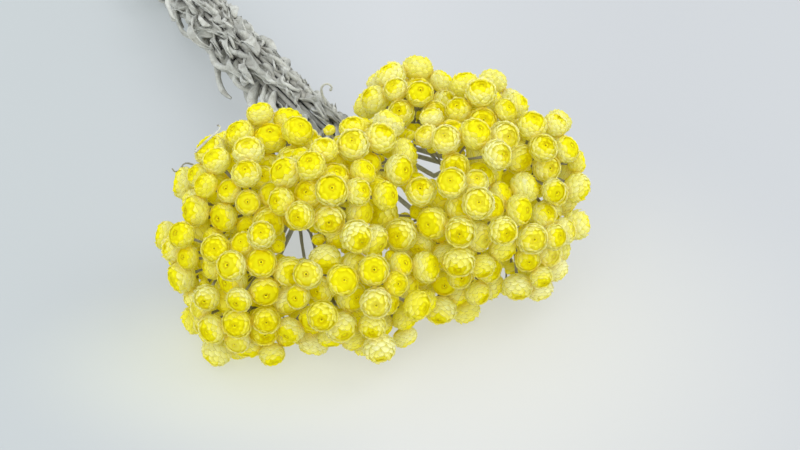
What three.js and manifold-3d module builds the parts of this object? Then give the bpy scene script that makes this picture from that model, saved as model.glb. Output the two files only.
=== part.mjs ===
// A dried bunch of Italian strawflower, lying on a surface: eighteen felted, leafy stems tied near
// their cut ends, which fan out at the neck, each to its own flower cluster of small papery globes.
// Millimetres, +Z up. The stems run along +X, from the cut ends to the flowers. The origin is the
// middle of the bounding box's base, on the surface that the bunch lies on.
import * as THREE from "three";
import { mergeVertices } from "three/addons/utils/BufferGeometryUtils.js";
import Module from "manifold-3d";

const wasm = await Module();
wasm.setup();

// Driving dimensions
const SEED = 7;
const BUNDLE_LENGTH = 186; // from the cut ends to the neck, where the stems part
const BUNDLE_ASIDE = 21; // how far aside the cut ends lie from the neck
const BUNDLE_BEND = 1.2; // the bundle turns aside a little less near the neck
const BUNDLE_RISE = 1.35; // the bundle rises slowly at the cut ends, and faster towards the neck
const BUNDLE_TWIST = 1.1; // radians, over the bundle's length
const NECK_HEIGHT = 26; // the bundle's middle above the surface, at the neck
const END_HEIGHT = 4.4; // the same at the cut ends
const END_STEP = 7; // how unevenly the stems are cut
const STEM_RADIUS = 0.7;
const STEM_SIDES = 5;
const STEM_GAP = 0.3; // between neighbouring stems in the bundle
const INNER_STEMS = 5;
const OUTER_STEMS = 13;
const BUNDLE_STEPS = 4;
const FAN_POINTS = 9; // points along a stem from the neck to its fork
const FAN_BEND = 0.35; // how long a stem holds its way at either end of its bend past the neck
const JOINT_GAP = 0.3; // between a stem's top face and its flower cluster's first face
const STUB_LENGTH = 10.5; // the upright of a flower cluster, which its stalks grow from
const STUB_TOP_RADIUS = 0.6;
const STALK_ROOTS = [0.95, 0.23]; // along the upright, from the innermost globe's to the outermost's
const STALK_RADIUS = 0.36;
const GLOBE_RADIUS = [2.75, 3.8]; // smallest and largest flower globe
const GLOBE_SIDES = 3;
const GLOBE_UNEVENNESS = 4; // how much deeper one globe of a dome may stand than another
const LEAF_START = 44; // first leaf, measured from the cut ends: the stems are stripped below it
const LEAF_END = 4; // no leaf is nearer to the neck than this
const LEAF_PITCH = 24;
const LEAF_SHIFT = 3; // how unevenly the leaves follow one another
const LEAF_LENGTH = [9, 14];
const LEAF_WIDTH = [2.2, 2.7];
const LEAF_THICKNESS = 0.8;
const LEAF_LIFT = [0.28, 0.55]; // radians between a leaf's foot and its stem
const LEAF_CURL = [0.6, 1.8]; // how far a leaf bends back to its stem, in times its lift
const SHOOT_AT = 0.965; // where the thin dry shoot leaves the topmost stem, along the bundle
const SHOOT_RADIUS = 0.4;
const TIE_AT = 24; // the tie's middle, from the cut ends
const TIE_TURNS = 4;
const TIE_CORD_RADIUS = 0.7;
const TIE_GROOVE = 0.5; // between one turn and the next
const TIE_GAP = 0.3;
const TIE_SIDES = 10;

// The flower clusters: where the top of each dome of globes is, from the neck's foot, how many
// globes it has, how far they stand from the fork of their stem, and the head that it belongs to.
const CLUSTERS = [
  { top: [16.6, -30.1, 45], globes: 17, reach: 16, head: "left" },
  { top: [14.5, -43, 35.5], globes: 15, reach: 16, head: "left" },
  { top: [28.4, -45.2, 38], globes: 16, reach: 17, head: "left" },
  { top: [29.1, -55.7, 21], globes: 15, reach: 17, head: "left" },
  { top: [42.8, -48.3, 25.5], globes: 15, reach: 15, head: "left" },
  { top: [41.5, -51.2, 9], globes: 16, reach: 17, head: "left" },
  { top: [56.2, -33, 19], globes: 16, reach: 17, head: "left" },
  { top: [60.2, -19.7, 19], globes: 16, reach: 16, head: "left" },
  { top: [46, -26.6, 43.5], globes: 17, reach: 16, head: "left" },
  { top: [39.7, -9.1, 45], globes: 15, reach: 15, head: "left" },
  { top: [17.1, 12.4, 47], globes: 17, reach: 15, head: "right" },
  { top: [36.8, 26.5, 45.5], globes: 16, reach: 15, head: "right" },
  { top: [52.6, 35.2, 35.5], globes: 16, reach: 15, head: "right" },
  { top: [45.3, 10.2, 45], globes: 14, reach: 15, head: "right" },
  { top: [59, 8.8, 33.5], globes: 17, reach: 15, head: "right" },
  { top: [65, 24.5, 19], globes: 15, reach: 16, head: "right" },
  { top: [56.8, -0.8, 11], globes: 15, reach: 16, head: "right" },
  { top: [52, -4.5, 30], globes: 15, reach: 15, head: "right" },
];
const HEADS = {
  left: { middle: [23.3, -27.2, 22], forward: [0.69, -0.73, 0] },
  right: { middle: [37.3, 10.3, 22], forward: [0.98, 0.1, 0] },
};
// Slanting openings between the clusters, through which the stems show: the globes keep clear of them
const OPENINGS = [
  { from: [59.6, -43.8, 48], to: [10.9, -17.7, 4], radius: 3 },
  { from: [50.8, -3.2, 48], to: [0.6, 29.5, 4], radius: 2.2 },
  { from: [60.1, -16.3, 48], to: [11.4, 14.2, 4], radius: 1.3 },
];
const FORWARD_SHARE = 0.35; // how far a cluster leans the way that its head faces
const SPREAD = 0.86; // radians from a cluster's axis to its outermost globes
const GOLDEN_ANGLE = Math.PI * (3 - Math.sqrt(5));

// How the globes and stems are nudged apart until none touches another
const ROUNDS = 260;
const SETTLING = 200; // after this round nothing pulls back any more
const CLEARANCE = 0.45; // between one cluster and another
const TOUCHING = 0.05; // between the globes of one cluster
const STEM_CLEARANCE = 0.9; // between a stem and anything else
const PRESSED = 0.8; // a globe's height above the surface that presses it flat, in radii
const HOME_PULL = 0.03;
const STRAIGHTENING = 0.2;

// Seeded random numbers from 0 to 1
function randomFrom(seed) {
  let state = seed >>> 0;
  return () => {
    state = (state + 0x6d2b79f5) >>> 0;
    let t = Math.imul(state ^ (state >>> 15), state | 1);
    t ^= t + Math.imul(t ^ (t >>> 7), t | 61);
    return ((t ^ (t >>> 14)) >>> 0) / 4294967296;
  };
}
const between = ([low, high], share) => low + (high - low) * share;
const vector = ([x, y, z]) => new THREE.Vector3(x, y, z);

// Two unit vectors across a direction
function across(direction) {
  const side = new THREE.Vector3(0, 0, 1).cross(direction).normalize();
  return [side, direction.clone().cross(side).normalize()];
}

// The axis and the fork of each cluster
const clusters = CLUSTERS.map((c) => {
  const head = HEADS[c.head];
  const top = vector(c.top);
  const axis = top
    .clone()
    .sub(vector(head.middle))
    .normalize()
    .addScaledVector(vector(head.forward), FORWARD_SHARE)
    .normalize();
  const fork = top.clone().addScaledVector(axis, -c.reach);
  return { ...c, axis, fork };
});

// The globes of every cluster, on domes, each with the root of its stalk on the cluster's upright
function plantGlobes() {
  const random = randomFrom(SEED);
  const globes = [];
  clusters.forEach((c, k) => {
    const [u, v] = across(c.axis);
    for (let i = 0; i < c.globes; i++) {
      const outward = Math.sqrt((i + 0.4) / c.globes);
      const turn = i * GOLDEN_ANGLE + k;
      const direction = c.axis
        .clone()
        .multiplyScalar(Math.cos(SPREAD * outward))
        .addScaledVector(u, Math.sin(SPREAD * outward) * Math.cos(turn))
        .addScaledVector(v, Math.sin(SPREAD * outward) * Math.sin(turn));
      const depth = (random() - 0.5) * GLOBE_UNEVENNESS;
      const home = c.fork.clone().addScaledVector(direction, c.reach + depth);
      const radius = between(GLOBE_RADIUS, 1 - random() ** 1.6);
      const height = STUB_LENGTH * between(STALK_ROOTS, outward);
      const root = c.fork.clone().addScaledVector(c.axis, height);
      globes.push({ cluster: k, radius, home, at: home.clone(), root, foot: home.clone() });
    }
  });
  return globes;
}

// The middle of the bundle, from 0 at the cut ends to 1 at the neck
function bundleMiddle(t) {
  return new THREE.Vector3(
    (t - 1) * BUNDLE_LENGTH,
    BUNDLE_ASIDE * Math.max(1 - t, 0) ** BUNDLE_BEND,
    END_HEIGHT + (NECK_HEIGHT - END_HEIGHT) * t ** BUNDLE_RISE,
  );
}

// The places for stems across the bundle, on two rings
const pitch = 2 * STEM_RADIUS + STEM_GAP;
const rings = [INNER_STEMS, OUTER_STEMS].map((count) => ({
  count,
  radius: pitch / 2 / Math.sin(Math.PI / count),
}));
const bundleRadius = rings[1].radius + STEM_RADIUS;
const places = rings.flatMap(({ count, radius }) =>
  Array.from({ length: count }, (_, i) => ({ radius, angle: (i * 2 * Math.PI) / count })),
);

// Each stem takes the place that lies nearest its own way out of the bundle, so that none cross
function assignPlaces() {
  const neck = bundleMiddle(1);
  const ways = clusters.map((c) => {
    const way = c.fork.clone().sub(neck);
    return way.divideScalar(way.x);
  });
  const mean = ways.reduce((sum, w) => sum.add(w), new THREE.Vector3()).divideScalar(ways.length);
  const widest = Math.max(...ways.map((w) => Math.hypot(w.y - mean.y, w.z - mean.z)));
  const scale = rings[1].radius / widest;
  const cost = (k, p) => {
    const y = (ways[k].y - mean.y) * scale - places[p].radius * Math.cos(places[p].angle);
    const z = (ways[k].z - mean.z) * scale - places[p].radius * Math.sin(places[p].angle);
    return y * y + z * z;
  };
  const order = places.map((_, p) => p);
  let swapped = true;
  while (swapped) {
    swapped = false;
    for (let a = 0; a < order.length; a++) {
      for (let b = a + 1; b < order.length; b++) {
        const kept = cost(a, order[a]) + cost(b, order[b]);
        if (cost(a, order[b]) + cost(b, order[a]) < kept - 1e-9) {
          [order[a], order[b]] = [order[b], order[a]];
          swapped = true;
        }
      }
    }
  }
  return order.map((p) => ({ ...places[p], outer: p >= INNER_STEMS }));
}
const stemPlaces = assignPlaces();

// The way out from the bundle's middle to a stem's place, and that stem's middle line in the bundle
function outFromMiddle(k, t) {
  const turn = stemPlaces[k].angle + BUNDLE_TWIST * (t - 1);
  return new THREE.Vector3(0, Math.cos(turn), Math.sin(turn));
}
function inBundle(k, t) {
  return bundleMiddle(t).addScaledVector(outFromMiddle(k, t), stemPlaces[k].radius);
}

// A stem past the neck: points on a smooth way from its place in the bundle to its fork
function plantFan(c, k) {
  const start = inBundle(k, 1);
  const leaving = start.clone().sub(inBundle(k, 0.98)).normalize();
  const way = start.distanceTo(c.fork);
  return new THREE.CubicBezierCurve3(
    start,
    start.clone().addScaledVector(leaving, way * FAN_BEND),
    c.fork.clone().addScaledVector(c.axis, -way * FAN_BEND),
    c.fork,
  ).getPoints(FAN_POINTS - 1);
}

// Nudges the globes and the stems apart: each point moves away from what it comes too near to,
// which is another globe, or a stretch of a stalk or a stem
function nudgeApart(globes, fans) {
  const things = [];
  globes.forEach(({ cluster, radius, at, root, foot }, i) => {
    const line = new THREE.Line3(root, foot);
    things.push({ of: i, cluster, radius, at });
    things.push({ of: i, cluster, radius: STALK_RADIUS, stalk: true, line });
  });
  const stems = fans.map((points, k) => {
    const crown = clusters[k].fork.clone().addScaledVector(clusters[k].axis, STUB_LENGTH);
    return [...points, crown];
  });
  stems.forEach((points, cluster) => {
    for (let i = 1; i < points.length; i++) {
      const line = new THREE.Line3(points[i - 1], points[i]);
      things.push({ of: -1 - cluster, cluster, radius: STEM_RADIUS, line });
    }
  });
  for (const { from, to, radius } of OPENINGS) {
    const line = new THREE.Line3(vector(from), vector(to));
    things.push({ cluster: -1, radius, opening: true, line });
  }
  const movers = globes.map(({ cluster, radius, at, home }, i) => {
    return { of: i, cluster, radius, at, home };
  });
  stems.forEach((points, cluster) => {
    for (let i = 1; i < FAN_POINTS - 2; i++) {
      const beside = [points[i - 1], points[i + 1]];
      movers.push({ of: -1 - cluster, cluster, radius: STEM_RADIUS, at: points[i], beside });
    }
  });
  for (const m of movers) {
    m.others = things
      .filter((o) => o.of !== m.of)
      .filter((o) => !(m.beside && (o.opening || (o.stalk && o.cluster === m.cluster))))
      .map((o) => {
        const gap = o.cluster === m.cluster ? TOUCHING : CLEARANCE;
        return { ...o, apart: m.radius + o.radius + (m.beside ? STEM_CLEARANCE : gap) };
      });
  }
  const nearest = new THREE.Vector3();
  const away = new THREE.Vector3();
  for (let round = 0; round < ROUNDS; round++) {
    for (const g of globes) {
      g.foot.copy(g.at).sub(g.root).setLength(g.at.distanceTo(g.root) - g.radius).add(g.root);
    }
    const pushes = movers.map((m) => {
      const push = new THREE.Vector3();
      for (const o of m.others) {
        if (o.line) o.line.closestPointToPoint(m.at, true, nearest);
        else nearest.copy(o.at);
        away.copy(m.at).sub(nearest);
        const short = o.apart - away.length();
        if (short > 0) push.add(away.setLength(short * 0.5));
      }
      if (m.beside) {
        away.copy(m.beside[0]).add(m.beside[1]).multiplyScalar(0.5).sub(m.at);
        push.addScaledVector(away, STRAIGHTENING);
      } else if (round < SETTLING) {
        push.addScaledVector(away.copy(m.home).sub(m.at), HOME_PULL);
      }
      return push;
    });
    movers.forEach((m, i) => {
      m.at.add(pushes[i]);
      m.at.z = Math.max(m.at.z, m.radius * PRESSED);
    });
  }
}
const globes = plantGlobes();
const fans = clusters.map(plantFan);
nudgeApart(globes, fans);

// three.js geometry to a solid, and back
function solidOf(geometry) {
  const bare = geometry.clone();
  for (const name of Object.keys(bare.attributes)) {
    if (name !== "position") bare.deleteAttribute(name);
  }
  const merged = mergeVertices(bare, 1e-4);
  return new wasm.Manifold(
    new wasm.Mesh({
      numProp: 3,
      vertProperties: merged.attributes.position.array,
      triVerts: new Uint32Array(merged.index.array),
    }),
  );
}
function geometryOf(solid) {
  const mesh = solid.getMesh();
  const geometry = new THREE.BufferGeometry();
  geometry.setAttribute("position", new THREE.BufferAttribute(mesh.vertProperties, 3));
  geometry.setIndex(new THREE.BufferAttribute(mesh.triVerts, 1));
  geometry.computeVertexNormals();
  return geometry;
}

// Stands a shape that was made along +Y at a point, facing a direction
function standOn(geometry, from, direction) {
  const turn = new THREE.Quaternion().setFromUnitVectors(new THREE.Vector3(0, 1, 0), direction);
  return geometry.applyQuaternion(turn).translate(from.x, from.y, from.z);
}

// A globe on its stalk, as one turned shape: three tiers of large scales round a sunken eye, each
// turned by half a scale from the one below
function stalkAndGlobe({ at, radius, root }) {
  const middle = at.distanceTo(root);
  const profile = [
    new THREE.Vector2(0, 0),
    new THREE.Vector2(STALK_RADIUS, STALK_RADIUS),
    new THREE.Vector2(STALK_RADIUS, middle - radius * 0.9),
    new THREE.Vector2(radius * 0.98, middle - radius * 0.28),
    new THREE.Vector2(radius * 0.98, middle + radius * 0.2),
    new THREE.Vector2(radius * 0.6, middle + radius * 0.8),
    new THREE.Vector2(0, middle + radius * 0.62),
  ];
  const halfScales = [0, 0, 0, 1, 2, 3, 3];
  const geometry = new THREE.LatheGeometry(profile, GLOBE_SIDES);
  const position = geometry.getAttribute("position");
  const p = new THREE.Vector3();
  for (let i = 0; i < position.count; i++) {
    const turn = (halfScales[i % profile.length] * Math.PI) / GLOBE_SIDES;
    p.fromBufferAttribute(position, i).applyAxisAngle(new THREE.Vector3(0, 1, 0), turn);
    position.setXYZ(i, p.x, p.y, p.z);
  }
  return solidOf(standOn(geometry, root, at.clone().sub(root).normalize()));
}

// A flower cluster: an upright over the stem, and a stalk from it to each globe
function flowersSolid(k) {
  const { fork, axis } = clusters[k];
  const upright = new THREE.CylinderGeometry(STUB_TOP_RADIUS, STEM_RADIUS, STUB_LENGTH, STEM_SIDES);
  upright.translate(0, STUB_LENGTH / 2, 0);
  const own = globes.filter((g) => g.cluster === k);
  return wasm.Manifold.union([solidOf(standOn(upright, fork, axis)), ...own.map(stalkAndGlobe)]);
}

// A leaf: a three-sided blade that leaves the stem at an angle, then curls away or back
function leaf({ root, along, out, length, width, lift, curl }) {
  const geometry = new THREE.ConeGeometry(width / 2, length, 3, 2);
  geometry.translate(0, length / 2, 0);
  const position = geometry.getAttribute("position");
  const side = along.clone().cross(out).normalize();
  for (let i = 0; i < position.count; i++) {
    const t = THREE.MathUtils.clamp(position.getY(i) / length, 0, 1);
    const fullness = t < 1 ? (0.5 + 2 * t - 2 * t * t) / (1 - t) : 0;
    const wide = position.getX(i) * fullness;
    const thick = ((position.getZ(i) * fullness) / width) * LEAF_THICKNESS * 1.5;
    const angle = lift + curl * t;
    const run = (length * (Math.sin(angle) - Math.sin(lift))) / curl;
    const rise = (length * (Math.cos(lift) - Math.cos(angle))) / curl;
    const p = root
      .clone()
      .addScaledVector(along, run - thick * Math.sin(angle))
      .addScaledVector(out, rise + thick * Math.cos(angle))
      .addScaledVector(side, wide);
    position.setXYZ(i, p.x, p.y, p.z);
  }
  return solidOf(geometry);
}

// The leaves of a stem on the bundle's outside, at even steps with a shift of its own
function leavesOf(k) {
  const random = randomFrom(SEED * 100 + k);
  const leaves = [];
  const shift = LEAF_PITCH * ((k * 0.618) % 1);
  for (let s = LEAF_START + shift; s < BUNDLE_LENGTH - LEAF_END; s += LEAF_PITCH) {
    const t = (s + (random() - 0.5) * LEAF_SHIFT) / BUNDLE_LENGTH;
    const out = outFromMiddle(k, t);
    const along = inBundle(k, t + 0.01).sub(inBundle(k, t - 0.01)).normalize();
    out.addScaledVector(along, -out.dot(along)).normalize();
    const lift = between(LEAF_LIFT, random());
    leaves.push({
      root: inBundle(k, t).addScaledVector(out, STEM_RADIUS * 0.45),
      along,
      out,
      length: between(LEAF_LENGTH, random()),
      width: between(LEAF_WIDTH, random()),
      lift,
      curl: -lift * between(LEAF_CURL, random()),
    });
  }
  return leaves;
}

// A line through given points, which an extrusion follows point by point
class PointLine extends THREE.Curve {
  constructor(points) {
    super();
    this.points = points;
  }
  getPointAt(u) {
    const place = u * (this.points.length - 1);
    const i = Math.min(Math.floor(place), this.points.length - 2);
    return this.points[i].clone().lerp(this.points[i + 1], place - i);
  }
  getTangentAt(u) {
    const i = Math.round(u * (this.points.length - 1));
    const before = this.points[Math.max(i - 1, 0)];
    const after = this.points[Math.min(i + 1, this.points.length - 1)];
    return after.clone().sub(before).normalize();
  }
}

// A rod with flat sides through given points
function rodThrough(points, radius, sides) {
  const section = new THREE.Shape(
    Array.from({ length: sides }, (_, i) => {
      const turn = (i * 2 * Math.PI) / sides;
      return new THREE.Vector2(Math.cos(turn) * radius, Math.sin(turn) * radius);
    }),
  );
  const geometry = new THREE.ExtrudeGeometry(section, {
    steps: points.length - 1,
    bevelEnabled: false,
    extrudePath: new PointLine(points),
  });
  return solidOf(geometry);
}

// The thin dry shoot that stands up from the topmost stem just before the neck, and curls over.
// Its points are how far it goes sideways and up from the stem.
const SHOOT = [
  [0, 0],
  [-0.3, 2.2],
  [-0.9, 4.2],
  [-0.9, 6],
  [-0.1, 7.2],
  [1.1, 7.2],
  [1.8, 6.2],
  [1.3, 5.2],
];
const SHOOT_SIDEWAYS = new THREE.Vector3(0.53, 0.85, 0);
const shootFeet = clusters.map((c, k) => inBundle(k, SHOOT_AT));
const topmost = Math.max(...shootFeet.map((foot) => foot.z));
function shootsOf(k) {
  if (shootFeet[k].z < topmost) return [];
  const points = SHOOT.map(([aside, up]) =>
    shootFeet[k].clone().addScaledVector(SHOOT_SIDEWAYS, aside).add(new THREE.Vector3(0, 0, up)),
  );
  return [rodThrough(points, SHOOT_RADIUS, 3)];
}

// A stem, with its leaves if it lies on the bundle's outside
const cutRandom = randomFrom(SEED + 1);
const cutEnds = clusters.map(() => (cutRandom() * END_STEP) / BUNDLE_LENGTH);
function stemSolid(k) {
  const points = [];
  for (let i = 0; i < BUNDLE_STEPS; i++) {
    points.push(inBundle(k, THREE.MathUtils.lerp(cutEnds[k], 1, i / BUNDLE_STEPS)));
  }
  points.push(...fans[k].slice(0, -1));
  points.push(clusters[k].fork.clone().addScaledVector(clusters[k].axis, -JOINT_GAP));
  const leaves = stemPlaces[k].outer ? leavesOf(k) : [];
  const stem = rodThrough(points, STEM_RADIUS, STEM_SIDES);
  return wasm.Manifold.union([stem, ...leaves.map(leaf), ...shootsOf(k)]);
}

// The tie: close turns of twine round the bundle, as one ridged ring
function tieSolid() {
  const inner = (bundleRadius + TIE_GAP) / Math.cos(Math.PI / TIE_SIDES);
  const width = TIE_TURNS * 2 * TIE_CORD_RADIUS;
  const profile = [new THREE.Vector2(inner, width / 2), new THREE.Vector2(inner, -width / 2)];
  for (let i = 0; i < TIE_TURNS; i++) {
    const low = -width / 2 + i * 2 * TIE_CORD_RADIUS;
    const outer = inner + 2 * TIE_CORD_RADIUS;
    profile.push(new THREE.Vector2(outer, low + TIE_CORD_RADIUS * 0.5));
    profile.push(new THREE.Vector2(outer, low + TIE_CORD_RADIUS * 1.5));
    if (i < TIE_TURNS - 1) {
      profile.push(new THREE.Vector2(outer - TIE_GROOVE, low + TIE_CORD_RADIUS * 2));
    }
  }
  profile.push(profile[0].clone());
  const t = TIE_AT / BUNDLE_LENGTH;
  const along = bundleMiddle(t + 0.01).sub(bundleMiddle(t - 0.01)).normalize();
  return solidOf(standOn(new THREE.LatheGeometry(profile, TIE_SIDES), bundleMiddle(t), along));
}

// What the bunch rests on is pressed flat where it meets the surface
const SURFACE_SIZE = 600;
const SURFACE_DEPTH = 20;
const slab = new THREE.BoxGeometry(SURFACE_SIZE, SURFACE_SIZE, SURFACE_DEPTH);
const surface = solidOf(slab.translate(0, 0, -SURFACE_DEPTH / 2));
const pressed = (solid) => (solid.boundingBox().min[2] < 0 ? solid.subtract(surface) : solid);

const bunch = new THREE.Group();
const felt = new THREE.MeshStandardMaterial({ color: 0x9b9a8c, roughness: 0.95, metalness: 0 });
const paper = new THREE.MeshStandardMaterial({ color: 0xe9dc3a, roughness: 0.7, metalness: 0 });
const twine = new THREE.MeshStandardMaterial({ color: 0xa58b62, roughness: 0.9, metalness: 0 });
function add(name, solid, material) {
  const mesh = new THREE.Mesh(geometryOf(pressed(solid)), material);
  mesh.name = name;
  bunch.add(mesh);
}
clusters.forEach((c, k) => {
  const number = String(k + 1).padStart(2, "0");
  add(`stem_${number}`, stemSolid(k), felt);
  add(`flowers_${number}`, flowersSolid(k), paper);
});
add("tie", tieSolid(), twine);

// The origin is brought to the middle of the bounding box's base
const box = new THREE.Box3().setFromObject(bunch);
bunch.position.set(-(box.min.x + box.max.x) / 2, -(box.min.y + box.max.y) / 2, 0);

export default bunch;
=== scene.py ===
import math

import bmesh
import bpy
import numpy as np
from mathutils import Matrix, Vector, noise


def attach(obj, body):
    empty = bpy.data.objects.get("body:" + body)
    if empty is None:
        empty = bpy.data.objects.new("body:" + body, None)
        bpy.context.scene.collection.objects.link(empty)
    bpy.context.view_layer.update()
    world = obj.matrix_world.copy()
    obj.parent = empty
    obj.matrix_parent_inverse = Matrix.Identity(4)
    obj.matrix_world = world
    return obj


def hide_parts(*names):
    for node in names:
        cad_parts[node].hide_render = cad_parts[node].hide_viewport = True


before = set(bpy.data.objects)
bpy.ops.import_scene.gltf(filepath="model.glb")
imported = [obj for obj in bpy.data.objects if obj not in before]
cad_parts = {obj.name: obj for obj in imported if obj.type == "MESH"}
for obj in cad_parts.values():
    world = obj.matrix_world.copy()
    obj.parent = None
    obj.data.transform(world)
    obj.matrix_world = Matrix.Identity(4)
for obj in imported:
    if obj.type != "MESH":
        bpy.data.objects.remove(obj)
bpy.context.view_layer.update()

# The flowering stems. Eighteen dry stems, round and ribbed under grey wool, run side by side from
# their cut ends to the neck. There they part, and each runs to the fork of its own flower cluster.
# Stems and flower heads make room for one another, so the places of both are settled here.
MM = 0.001
SEED = 7
TINY = 1e-9
GOLDEN_ANGLE = math.pi * (3 - math.sqrt(5))

# Leaves, stems and stalks are crumpled by a noise that would be a new one on each run without a seed.
noise.seed_set(SEED)

# Places are planned in millimetres from the table under the neck; this is the way from the middle of
# the finished bunch to there.
BOX_SHIFT = np.array([57.51971, 8.76335, 0.0])

# The two domes of flowers: the middle of each, and the way it leans.
LEFT = ((23.3, -27.2, 22), (0.69, -0.73, 0))
RIGHT = ((37.3, 10.3, 22), (0.98, 0.1, 0))
LEAN = 0.35

# Each cluster: the top of its crown, its number of heads, its reach from fork to crown, and its dome.
CLUSTERS = (
    ((16.6, -30.1, 45), 17, 16, LEFT),
    ((14.5, -43, 35.5), 15, 16, LEFT),
    ((28.4, -45.2, 38), 16, 17, LEFT),
    ((29.1, -55.7, 21), 15, 17, LEFT),
    ((42.8, -48.3, 25.5), 15, 15, LEFT),
    ((41.5, -51.2, 9), 16, 17, LEFT),
    ((56.2, -33, 19), 16, 17, LEFT),
    ((60.2, -19.7, 19), 16, 16, LEFT),
    ((46, -26.6, 43.5), 17, 16, LEFT),
    ((39.7, -9.1, 45), 15, 15, LEFT),
    ((17.1, 12.4, 47), 17, 15, RIGHT),
    ((36.8, 26.5, 45.5), 16, 15, RIGHT),
    ((52.6, 35.2, 35.5), 16, 15, RIGHT),
    ((45.3, 10.2, 45), 14, 15, RIGHT),
    ((59, 8.8, 33.5), 17, 15, RIGHT),
    ((65, 24.5, 19), 15, 16, RIGHT),
    ((56.8, -0.8, 11), 15, 16, RIGHT),
    ((52, -4.5, 30), 15, 15, RIGHT),
)


def seeded(seed):
    """Numbers from 0 to 1 that are the same on every run"""
    state = seed

    def draw():
        nonlocal state
        state = (state + 0x6D2B79F5) & 0xFFFFFFFF
        t = ((state ^ (state >> 15)) * (state | 1)) & 0xFFFFFFFF
        t ^= (t + (t ^ (t >> 7)) * (t | 61)) & 0xFFFFFFFF
        return ((t ^ (t >> 14)) & 0xFFFFFFFF) / 2**32

    return draw


def between(limits, share):
    """What lies a share of the way from one limit to the other"""
    return limits[0] + (limits[1] - limits[0]) * share


def unit(v):
    """A direction, cut to a length of 1"""
    return v / np.linalg.norm(v)


def across(direction):
    """Two directions at right angles to a direction and to each other"""
    side = unit(np.cross((0, 0, 1), direction))
    return side, unit(np.cross(direction, side))


axes, forks = [], []
for crown, _, reach, (middle, forward) in CLUSTERS:
    axis = unit(unit(np.subtract(crown, middle)) + LEAN * np.array(forward))
    axes.append(axis)
    forks.append(np.array(crown) - axis * reach)

# The heads of a cluster spiral out over its fork, and their stalks leave its upright at many heights.
HEAD_RADIUS = (2.75, 3.8)
HEAD_SIZE_POWER = 1.6
HEAD_UNEVENNESS = 4.0
SPREAD = 0.86
FIRST_OUTWARD = 0.4
UPRIGHT_LENGTH = 10.5
STALK_ROOTS = (0.95, 0.23)
STALK_RADIUS = 0.36

draw = seeded(SEED)
of_cluster, globe_radius, homes, roots = [], [], [], []
for k, (_, count, reach, _) in enumerate(CLUSTERS):
    u, v = across(axes[k])
    for i in range(count):
        outward = math.sqrt((i + FIRST_OUTWARD) / count)
        turn = i * GOLDEN_ANGLE + k
        aside = u * math.cos(turn) + v * math.sin(turn)
        way = axes[k] * math.cos(SPREAD * outward) + aside * math.sin(SPREAD * outward)
        homes.append(forks[k] + way * (reach + (draw() - 0.5) * HEAD_UNEVENNESS))
        globe_radius.append(between(HEAD_RADIUS, 1 - draw() ** HEAD_SIZE_POWER))
        roots.append(forks[k] + axes[k] * UPRIGHT_LENGTH * between(STALK_ROOTS, outward))
        of_cluster.append(k)
of_cluster, globe_radius = np.array(of_cluster), np.array(globe_radius)
homes, roots = np.array(homes), np.array(roots)

# The bundle rises, bends and twists a little on its way from the cut ends, at 0, to the neck, at 1.
BUNDLE_LENGTH = 186.0
BUNDLE_ASIDE = 21.0
BUNDLE_BEND = 1.2
BUNDLE_RISE = 1.35
BUNDLE_TWIST = 1.1
NECK_HEIGHT = 26.0
END_HEIGHT = 4.4
STEM_RADIUS = 0.7
STEM_GAP = 0.3
INNER_STEMS = 5
OUTER_STEMS = 13


def bundle_middle(t):
    """The middle of the bundle, at a share of its length"""
    rise = (NECK_HEIGHT - END_HEIGHT) * max(t, 0) ** BUNDLE_RISE
    aside = BUNDLE_ASIDE * max(1 - t, 0) ** BUNDLE_BEND
    return np.array([(t - 1) * BUNDLE_LENGTH, aside, END_HEIGHT + rise])


stem_places = []
for count in (INNER_STEMS, OUTER_STEMS):
    ring = (STEM_RADIUS + STEM_GAP / 2) / math.sin(math.pi / count)
    stem_places += [(ring, i * 2 * math.pi / count) for i in range(count)]
bundle_radius = ring + STEM_RADIUS

# Each stem takes the place that lies nearest its own way out of the bundle.
ways = np.array([fork - bundle_middle(1) for fork in forks])
ways = ways[:, 1:] / ways[:, :1]
ways -= ways.mean(0)
ways *= ring / np.hypot(ways[:, 0], ways[:, 1]).max()
spots = np.array([(r * math.cos(a), r * math.sin(a)) for r, a in stem_places])
costs = ((ways[:, None] - spots[None]) ** 2).sum(2)
order = list(range(len(spots)))
swapped = True
while swapped:
    swapped = False
    for a in range(len(order)):
        for b in range(a + 1, len(order)):
            kept = costs[a, order[a]] + costs[b, order[b]]
            if costs[a, order[b]] + costs[b, order[a]] < kept - TINY:
                order[a], order[b] = order[b], order[a]
                swapped = True
is_outer = [place >= INNER_STEMS for place in order]
stem_places = [stem_places[place] for place in order]


def out_from_middle(k, t):
    """The way from the middle of the bundle to one of its stems"""
    turn = stem_places[k][1] + BUNDLE_TWIST * (t - 1)
    return np.array([0, math.cos(turn), math.sin(turn)])


def in_bundle(k, t):
    """The middle of a stem, at a share of the bundle's length"""
    return bundle_middle(t) + out_from_middle(k, t) * stem_places[k][0]


FAN_POINTS = 9
FAN_BEND = 0.35
BELOW_NECK = 0.98
FAN_STEPS = 2
NEARBY = 0.01


def fan(k):
    """A stem past the neck, on a smooth bend to its fork"""
    start, fork = in_bundle(k, 1), forks[k]
    way = np.linalg.norm(fork - start) * FAN_BEND
    first = start + unit(start - in_bundle(k, BELOW_NECK)) * way
    last = fork - axes[k] * way
    t = np.linspace(0, 1, FAN_POINTS)[:, None]
    s = 1 - t
    return start * s**3 + first * 3 * s * s * t + last * 3 * s * t * t + fork * t**3


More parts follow.
